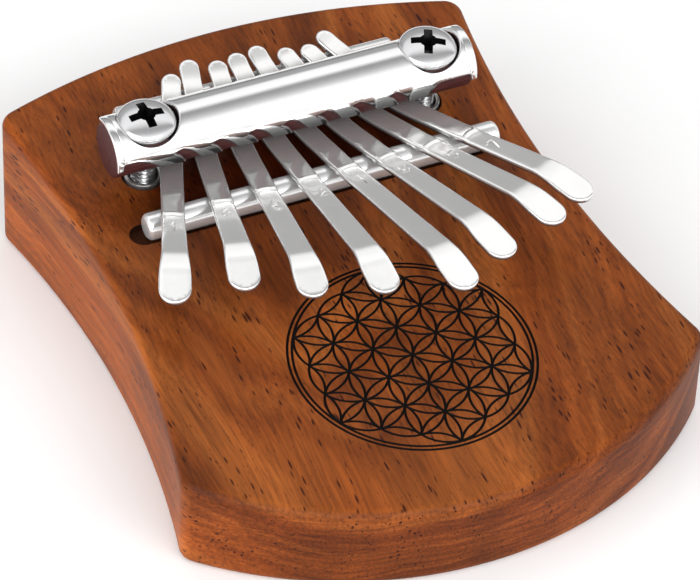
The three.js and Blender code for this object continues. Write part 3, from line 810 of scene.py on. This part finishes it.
def core_mesh():
    rows = [(0, -CORE_H), (CORE_R - 0.5, -CORE_H)]
    for i in range(1, 6):
        t = i / 5 * math.pi / 2
        rows.append((CORE_R - 0.5 + 0.5 * math.sin(t), -CORE_H + 0.4 * (1 - math.cos(t))))
    for k in range(1, 20):
        rows.append((CORE_R, -CORE_H + 0.4 + (2 * CORE_H - 0.8) * k / 20))
    for i in range(0, 6):
        t = i / 5 * math.pi / 2
        rows.append((CORE_R - 0.5 + 0.5 * math.cos(t), CORE_H - 0.4 * (1 - math.sin(t))))
    rows.append((0, CORE_H))
    v, f = lathe(rows, 96, "X")
    obj = make("hardwood_dowel", v, f, None)
    cutters = []
    for x in (-SCREW_X, SCREW_X):
        for r, z0, z1 in ((2.1, -6, 6), (POCKET_R, POCKET_N - BAR_N, 8)):
            cv, cf = lathe([(0, z0), (r, z0), (r, z1), (0, z1)], 64)
            cutters.append(make("c", [(a + x, b, c) for a, b, c in cv], cf, None))
    boolean(obj, cutters)
    # painted shade on the faces inside the bores and pockets
    at = obj.data.attributes.new("painted_shade", "FLOAT", "CORNER")
    for p in obj.data.polygons:
        c = p.center
        if math.hypot(c.y, c.z) < CORE_R - 0.06 and abs(c.x) < CORE_H - 0.6:
            for li in p.loop_indices:
                at.data[li].value = 1.0
    finish_mesh(obj, SLOPE @ Matrix.Translation((0, BAR_S, BAR_N)), 35)
    return obj


core = core_mesh()
show(core, "pressure_bar_core", "instrument", DOWEL)


# ---------------------------------------------------------------- screws and inserts
def screw_mesh():
    rows = [(0, -8.6), (1.05, -8.6), (1.35, -8.3)]
    z = -8.1
    while z < 8.5:
        rows.append((1.75, z, 0.38 if z < 8.1 else 0.15))
        z += 0.7 / 8
    rows += [(1.75, 8.75), (1.9, 8.96), (2.05, 9.0), (3.5, 9.0), (3.58, 9.03), (3.66, 9.14), (3.8, 9.4), (3.94, 9.7),
             (3.99, 9.84), (4.0, 9.92), (3.985, 10.02), (3.93, 10.16), (3.82, 10.32), (3.66, 10.47), (3.45, 10.62),
             (3.18, 10.76), (2.85, 10.89), (2.45, 11.01), (1.95, 11.12), (1.4, 11.21), (0.8, 11.27), (0, 11.3)]
    v, f = lathe(rows, 72)
    obj = make("screw", v, f, None)

    def arm(turn):
        top, low = 11.5, 9.0
        c = []
        for zz, hl, hw in ((low, 1.3, 0.42), (top, 2.62, 0.62)):
            for sx, sy in ((-1, -1), (1, -1), (1, 1), (-1, 1)):
                c.append((sx * hl, sy * hw, zz))
        faces = [(0, 3, 2, 1), (4, 5, 6, 7), (0, 1, 5, 4), (1, 2, 6, 5), (2, 3, 7, 6), (3, 0, 4, 7)]
        R = Matrix.Rotation(turn, 4, "Z")
        return make("c", [R @ Vector(q) for q in c], faces, None)

    cv, cf = lathe([(0, 8.8), (0.5, 8.9), (1.3, 11.5), (0, 11.5)], 24)
    boolean(obj, [arm(0), arm(math.pi / 2), make("c", cv, cf, None)])
    me = obj.data
    rr = [r[0] for r in rows[-20:]]
    zz = [r[1] for r in rows[-20:]]
    # painted shade: full in the cross recess, partial on the shank under the head
    at = me.attributes.new("painted_shade", "FLOAT", "CORNER")
    for p in me.polygons:
        c = p.center
        r = math.hypot(c.x, c.y)
        if r < 2.75 and c.z > 8.7 and (c.z < np.interp(r, rr[::-1], zz[::-1]) - 0.10 or p.normal.z < 0.88):
            for li in p.loop_indices:
                at.data[li].value = 1.0
        elif c.z < 8.9:
            for li in p.loop_indices:
                at.data[li].value = 0.55
    bpy.data.objects.remove(obj)
    return me


screw = screw_mesh()
for side, sign, turn in (("left", -1, 0.0), ("right", 1, -0.43)):
    obj = bpy.data.objects.new(f"bar_screw_{side}_detailed", screw.copy())
    bpy.context.scene.collection.objects.link(obj)
    finish_mesh(obj, SLOPE @ Matrix.Translation((sign * SCREW_X, BAR_S, 0)) @ Matrix.Rotation(turn, 4, "Z"), 28)
    show(obj, f"screw_{side}", f"bar_screw_{side}", SCREW)
    rows = [(2.05, -9.0), (2.3, -9.0)]
    z = -8.7
    while z < -0.9:
        rows += [(2.6, z), (2.6, z + 0.3), (2.3, z + 0.5), (2.3, z + 0.8)]
        z += 1.0
    rows += [(2.6, -0.5), (2.6, 0.12), (2.57, 0.22), (2.48, 0.29), (2.3, 0.3), (2.15, 0.27), (2.07, 0.2), (2.05, 0.1)]
    # a ring profile: closed by its own bore
    columns = 64
    vv, ff = [], []
    for r, zz in rows:
        for k in range(columns):
            t = 2 * math.pi * k / columns
            vv.append((r * math.cos(t) + sign * SCREW_X, r * math.sin(t) + BAR_S, zz))
    m = len(rows)
    for j in range(m):
        for k in range(columns):
            a, b = j * columns + k, j * columns + (k + 1) % columns
            c, d = ((j + 1) % m) * columns + (k + 1) % columns, ((j + 1) % m) * columns + k
            ff.append((a, b, c, d))
    ins = make(f"threaded_insert_{side}", vv, ff, sharp=30)
    show(ins, f"insert_{side}", "instrument", INSERT)


# ---------------------------------------------------------------- keys
def catmull(nodes):
    P = np.array(nodes, float)
    pts = []
    for i in range(len(P) - 1):
        p1, p2 = P[i], P[i + 1]
        p0 = P[i - 1] if i > 0 else 2 * P[0] - P[1]
        p3 = P[i + 2] if i + 2 < len(P) else 2 * P[-1] - P[-2]
        d0, d1, d2 = (np.hypot(*(b - a)) ** 0.5 for a, b in ((p0, p1), (p1, p2), (p2, p3)))
        t1 = ((p1 - p0) / d0 - (p2 - p0) / (d0 + d1) + (p2 - p1) / d1) * d1
        t2 = ((p2 - p1) / d1 - (p3 - p1) / (d1 + d2) + (p3 - p2) / d2) * d1
        t = np.linspace(0, 1, 60, endpoint=(i == len(P) - 2))[:, None]
        pts.append(p1 + t1 * t + (-3 * p1 + 3 * p2 - 2 * t1 - t2) * t ** 2 + (2 * p1 - 2 * p2 + t1 + t2) * t ** 3)
    C = np.concatenate(pts)
    L = np.concatenate([[0], np.cumsum(np.hypot(*np.diff(C, axis=0).T))])
    return C, L


def smoothstep(x, a, b):
    t = np.clip((x - a) / (b - a), 0, 1)
    return t * t * (3 - 2 * t)


def arc_pts(cx, cy, rx, ry, a0, a1, n=9):
    t = np.radians(np.linspace(a0, a1, n))
    return [(cx + rx * math.cos(k), cy + ry * math.sin(k)) for k in t]


# strokes of the numerals in a box 0..1 wide, 0..1.4 high
DIGITS = {
    "1": [[(0.3, 1.1), (0.55, 1.4), (0.55, 0.0)]],
    "2": [arc_pts(0.5, 1.02, 0.42, 0.38, 165, -40, 9) + [(0.1, 0.0), (0.95, 0.0)]],
    "3": [arc_pts(0.45, 1.05, 0.4, 0.35, 150, -85, 9), arc_pts(0.45, 0.36, 0.46, 0.36, 85, -150, 10)],
    "4": [[(0.72, 0.0), (0.72, 1.4), (0.05, 0.45), (1.0, 0.45)]],
    "5": [[(0.9, 1.4), (0.2, 1.4), (0.14, 0.8)] + arc_pts(0.48, 0.44, 0.44, 0.44, 125, -145, 11)],
    "6": [[(0.8, 1.38), (0.35, 0.95), (0.1, 0.5)], arc_pts(0.5, 0.42, 0.41, 0.42, 0, 360, 15)],
    "7": [[(0.05, 1.4), (0.95, 1.4), (0.35, 0.0)]],
}


def key_mesh(k, label):
    kx, m, tip, bend, tail, free, spoon = KEYS[k]
    up = lambda s: 3.3 + free * (FROD_S - s)
    down = lambda s: up(bend) + spoon * (bend - s)
    nodes = [(tail, 3.3 + 0.2 * (tail - RROD_S)), (RROD_S + 1.2, 3.5), (RROD_S - 0.6, 3.27), (BAR_S + 2.6, 1.52),
             (BAR_S, 1.2), (BAR_S - 2.6, 1.5), (FROD_S + 1.5, 2.93), (FROD_S - 0.4, 3.36), (FROD_S - 2.2, up(FROD_S - 2.2)),
             (FROD_S - 4.5, up(FROD_S - 4.5)), ((FROD_S - 4.5 + bend + 2.2) / 2, up((FROD_S - 4.5 + bend + 2.2) / 2)),
             (bend + 2.2, up(bend + 2.2)), (bend + 1.0, up(bend + 1.0)), (bend - 0.9, down(bend - 0.9)),
             (bend - 2.2, down(bend - 2.2)), (tip, down(tip))]
    C, L = catmull(nodes)
    total = L[-1]
    T = np.gradient(C, axis=0)
    T /= np.linalg.norm(T, axis=1)[:, None]
    lateral = np.array([1, -m, 0]) / math.hypot(1, m)

    def s_of(u):
        return np.interp(u, L, C[:, 0])

    def half(u):
        s = s_of(u)
        hw = 1.56 - 0.21 * smoothstep(s, 44, 50) + 0.19 * smoothstep(FROD_S - s, 2, FROD_S - bend) + 0.38 * smoothstep(bend + 2 - s, 0, 5)
        return hw

    def place(u, v, h):
        s, n = np.interp(u, L, C[:, 0]), np.interp(u, L, C[:, 1])
        ts, tn = np.interp(u, L, T[:, 0]), np.interp(u, L, T[:, 1])
        along = np.stack([m * ts, ts, tn], 1)
        along /= np.linalg.norm(along, axis=1)[:, None]
        normal = np.cross(np.broadcast_to(lateral, along.shape), along)
        normal *= np.sign(normal[:, 2])[:, None]
        base = np.stack([kx + m * (s - FROD_S), s, n], 1)
        return base + lateral * np.asarray(v)[:, None] + normal * np.asarray(h)[:, None]

    # pattern: u runs from the tail to the tip, v across, with +v on the +x side
    r0, r1 = 1.35, 2.13
    mid = np.linspace(r0, total - r1, int((total - r0 - r1) / 0.5))
    hw = half(mid)
    a = np.linspace(0, math.pi / 2, 12)
    right_tail = [(r0 - r0 * math.cos(t), -half(np.array([r0]))[0] * math.sin(t)) for t in a[:-1]]
    tip_hw = half(np.array([total - r1]))[0]
    right_tip = [(total - r1 + r1 * math.sin(t), -tip_hw * math.cos(t)) for t in a[1:]]
    lower = right_tail + list(zip(mid, -hw)) + right_tip
    upper = [(u, -v) for u, v in lower[1:-1]][::-1]
    boundary = np.array(lower + upper)
    u_rod = np.interp(-FROD_S, -C[:, 0], L)
    u0 = u_rod + 2.6
    gu = np.concatenate([np.arange(0.6, total, 0.5), np.arange(u0 - 1.2, u0 + 1.8, 0.16)])
    gv = np.linspace(-1.9, 1.9, 9)
    dots = np.stack(np.meshgrid(gu, gv), -1).reshape(-1, 2)
    # numeral, its top towards the tail
    size = 1.35
    uc = u_rod + (5.2 if k in (0, 1) else 6.3)
    strokes = []
    for line in DIGITS[label]:
        strokes.append([(uc - (b - 0.7) * size, (a_ - 0.5) * size * 0.92) for a_, b in line])
    if k == 0:
        strokes.append([(uc + 0.2 + 0.12 * math.cos(t), 1.0 + 0.12 * math.sin(t)) for t in np.linspace(0, 6.28, 7)])

    def shape(u, v):
        # the free end is pressed flat; its upper end is an arch
        edge = u0 - 0.25 * (1.6 - np.minimum(np.abs(v), 1.6) ** 2 / 1.6)
        return 0.10 * smoothstep(u - edge, 0.0, 0.45) - 0.05 * np.exp(-((u - edge + 0.12) / 0.16) ** 2)

    return sheet(boundary, [], strokes, dots, place, KEY_T, 0.27, 0.24, 0.11, shape=shape)


for k, label in enumerate("16421357"):
    v, f = key_mesh(k, label)
    half_count = len(v) // 2
    # painted shade on the underside of each key
    obj = make(f"key_{k + 1}_detailed", v, f, sharp=38, shade=lambda face, vert: 0.85 if vert >= half_count else 0.0)
    show(obj, f"key_{k + 1}", f"tine_{k + 1}", STEEL)

# ---------------------------------------------------------------- stage, light and camera
fm = bpy.data.meshes.new("floor")
fm.from_pydata([(-3, -3, 0), (3, -3, 0), (3, 3, 0), (-3, 3, 0)], [], [(0, 1, 2, 3)])
floor = bpy.data.objects.new("floor", fm)
bpy.context.scene.collection.objects.link(floor)
floor.location = (0, 0, -0.00005)
m, nt, bsdf = tree("floor_white")
bsdf.inputs["Base Color"].default_value = (0.985, 0.985, 0.985, 1)
bsdf.inputs["Roughness"].default_value = 0.9
bsdf.inputs["Specular IOR Level"].default_value = 0.0
fm.materials.append(m)

world = bpy.data.worlds.new("studio")
bpy.context.scene.world = world
world.use_nodes = True
nt = world.node_tree
nt.nodes.clear()
out = nt.nodes.new("ShaderNodeOutputWorld")
bg = nt.nodes.new("ShaderNodeBackground")
nt.links.new(bg.outputs[0], out.inputs[0])
tc = nt.nodes.new("ShaderNodeTexCoord")
sep = nt.nodes.new("ShaderNodeSeparateXYZ")
nt.links.new(tc.outputs["Generated"], sep.inputs[0])
up = math_(nt, "MAXIMUM", sep.outputs[2], 0.0001)
psi = math_(nt, "DIVIDE", math_(nt, "ARCTAN2", up, math_(nt, "MULTIPLY", sep.outputs[1], -1.0)), math.pi)
sky = ramp(nt, psi, [(0.0, grey(1.05)), (52 / 180, grey(1.15)), (61 / 180, grey(0.90)), (70 / 180, grey(0.58)), (80 / 180, grey(0.36)), (89 / 180, grey(0.25)),
                     (97 / 180, grey(0.24)), (107 / 180, grey(0.9)), (113 / 180, grey(1.15)), (136 / 180, grey(1.0)), (145 / 180, grey(0.34)),
                     (166 / 180, grey(0.30)), (172 / 180, grey(0.14)), (1.0, grey(0.2))])
nt.links.new(sky, bg.inputs["Color"])
bg.inputs["Strength"].default_value = 1.0


def area(name, loc, target, size, power):
    light = bpy.data.lights.new(name, "AREA")
    light.shape = "RECTANGLE"
    light.size, light.size_y = size
    light.energy = power
    obj = bpy.data.objects.new(name, light)
    bpy.context.scene.collection.objects.link(obj)
    obj.location = loc
    obj.rotation_euler = (Vector(target) - Vector(loc)).to_track_quat("-Z", "Y").to_euler()


area("softbox_left", (-0.75, -0.35, 0.45), (0, 0, 0.01), (0.9, 0.9), 5.0)
area("softbox_top", (0.1, -0.80, 0.62), (0, 0, 0.01), (0.9, 0.3), 3.6)

az, el, roll = (math.radians(a) for a in (26.95387, 40.80937, 2.62462))
D, F, tx, ty = math.exp(4.61959), 4058.5, 1.69522, -1.58042
fwd = Vector((math.sin(az) * math.cos(el), math.cos(az) * math.cos(el), -math.sin(el)))
right = Vector((math.cos(az), -math.sin(az), 0))
upv = right.cross(fwd)
R0 = right * math.cos(roll) + upv * math.sin(roll)
U0 = upv * math.cos(roll) - right * math.sin(roll)
loc = (R0 * -tx - U0 * ty - fwd * D + Vector((0, -3.8125, 2.823))) * 0.00515
cam_data = bpy.data.cameras.new("camera")
cam = bpy.data.objects.new("camera", cam_data)
bpy.context.scene.collection.objects.link(cam)
cam.matrix_world = Matrix(((R0.x, U0.x, -fwd.x, loc.x), (R0.y, U0.y, -fwd.y, loc.y), (R0.z, U0.z, -fwd.z, loc.z), (0, 0, 0, 1)))
cam_data.sensor_width = 36
cam_data.sensor_fit = "HORIZONTAL"
cam_data.lens = F / 700 * 36
cam_data.clip_start, cam_data.clip_end = 0.05, 20
bpy.context.scene.camera = cam
vs = bpy.context.scene.view_settings
vs.view_transform = "Standard"
vs.look = "None"
vs.exposure = 0.0
vs.gamma = 1.0
